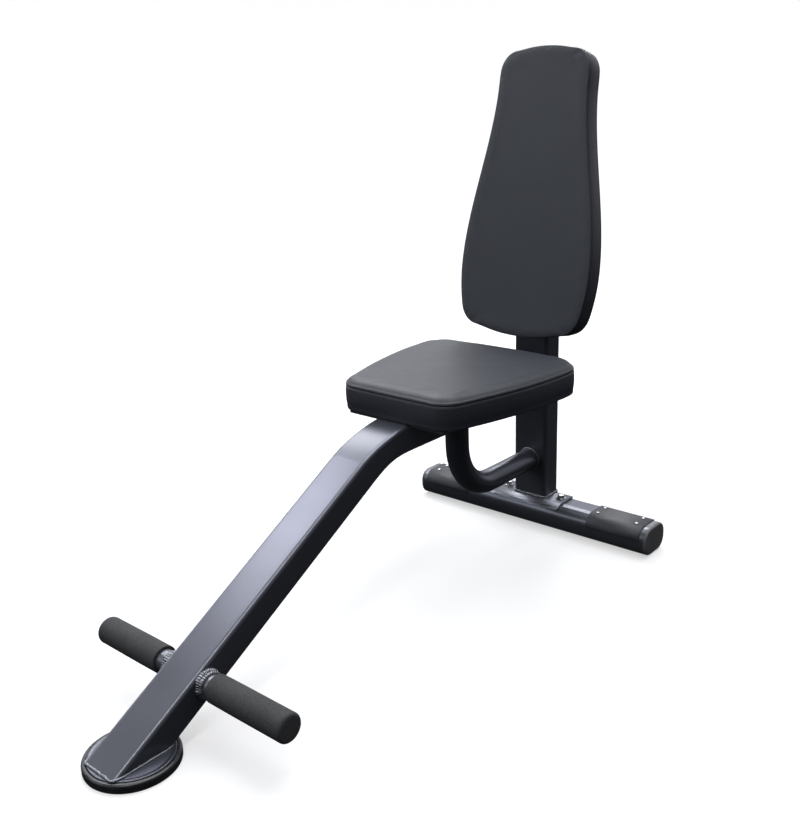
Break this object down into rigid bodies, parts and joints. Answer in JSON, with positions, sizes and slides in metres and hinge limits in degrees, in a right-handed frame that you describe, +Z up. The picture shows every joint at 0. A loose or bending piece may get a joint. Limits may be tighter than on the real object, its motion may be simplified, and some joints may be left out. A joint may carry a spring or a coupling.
{
  "type": "utility weight bench",
  "caption": "Fixed upright utility bench with a bent front spine on a round foot, side foot pegs, cross base, tapered seat and waisted back pad.",
  "frame": {"origin": "centre of the footprint's bounding box on the floor", "axes": "+Z up, the user faces -Y (the round foot is at -Y, the cross base at +Y), +X is the user's left side"},
  "size_m": [0.598, 1.2662, 1.0116],
  "materials": {
    "graphite_paint": "satin",
    "charcoal_vinyl": "satin",
    "cushion_foam": "matte",
    "plywood": "matte",
    "grip_rubber": "matte",
    "foot_rubber": "satin",
    "cap_plastic": "satin",
    "zinc_steel": "satin"
  },
  "bodies": {
    "root": {"back_board": "plywood", "back_bolt_lower_left": "zinc_steel", "back_bolt_lower_right": "zinc_steel", "back_bolt_upper_left": "zinc_steel", "back_bolt_upper_right": "zinc_steel", "back_cover": "charcoal_vinyl", "back_foam": "cushion_foam", "back_plate_lower": "graphite_paint", "back_plate_upper": "graphite_paint", "back_tee_nut_lower_left": "zinc_steel", "back_tee_nut_lower_right": "zinc_steel", "back_tee_nut_upper_left": "zinc_steel", "back_tee_nut_upper_right": "zinc_steel", "base_bolt_left": "zinc_steel", "base_bolt_right": "zinc_steel", "base_cover_left": "graphite_paint", "base_cover_right": "graphite_paint", "base_end_cap_left": "cap_plastic", "base_end_cap_right": "cap_plastic", "base_nut_left": "zinc_steel", "base_nut_right": "zinc_steel", "base_washer_left": "zinc_steel", "base_washer_right": "zinc_steel", "cover_screw_left_1": "zinc_steel", "cover_screw_left_2": "zinc_steel", "cover_screw_left_3": "zinc_steel", "cover_screw_left_4": "zinc_steel", "cover_screw_right_1": "zinc_steel", "cover_screw_right_2": "zinc_steel", "cover_screw_right_3": "zinc_steel", "cover_screw_right_4": "zinc_steel", "curved_brace": "graphite_paint", "foot_peg_grip_left": "grip_rubber", "foot_peg_grip_right": "grip_rubber", "foot_peg_left": "graphite_paint", "foot_peg_right": "graphite_paint", "front_foot_disc": "graphite_paint", "front_foot_pad": "foot_rubber", "front_spine": "graphite_paint", "rear_base_tube": "graphite_paint", "rear_foot_pad_left": "foot_rubber", "rear_foot_pad_right": "foot_rubber", "rear_upright": "graphite_paint", "seat_board": "plywood", "seat_bolt_front_left": "zinc_steel", "seat_bolt_front_right": "zinc_steel", "seat_bolt_rear_left": "zinc_steel", "seat_bolt_rear_right": "zinc_steel", "seat_bracket_front_left": "graphite_paint", "seat_bracket_front_right": "graphite_paint", "seat_bracket_rear_left": "graphite_paint", "seat_bracket_rear_right": "graphite_paint", "seat_cover": "charcoal_vinyl", "seat_foam": "cushion_foam", "seat_tee_nut_front_left": "zinc_steel", "seat_tee_nut_front_right": "zinc_steel", "seat_tee_nut_rear_left": "zinc_steel", "seat_tee_nut_rear_right": "zinc_steel", "upright_base_plate": "graphite_paint", "upright_top_cap": "cap_plastic"}
  },
  "joints": []
}
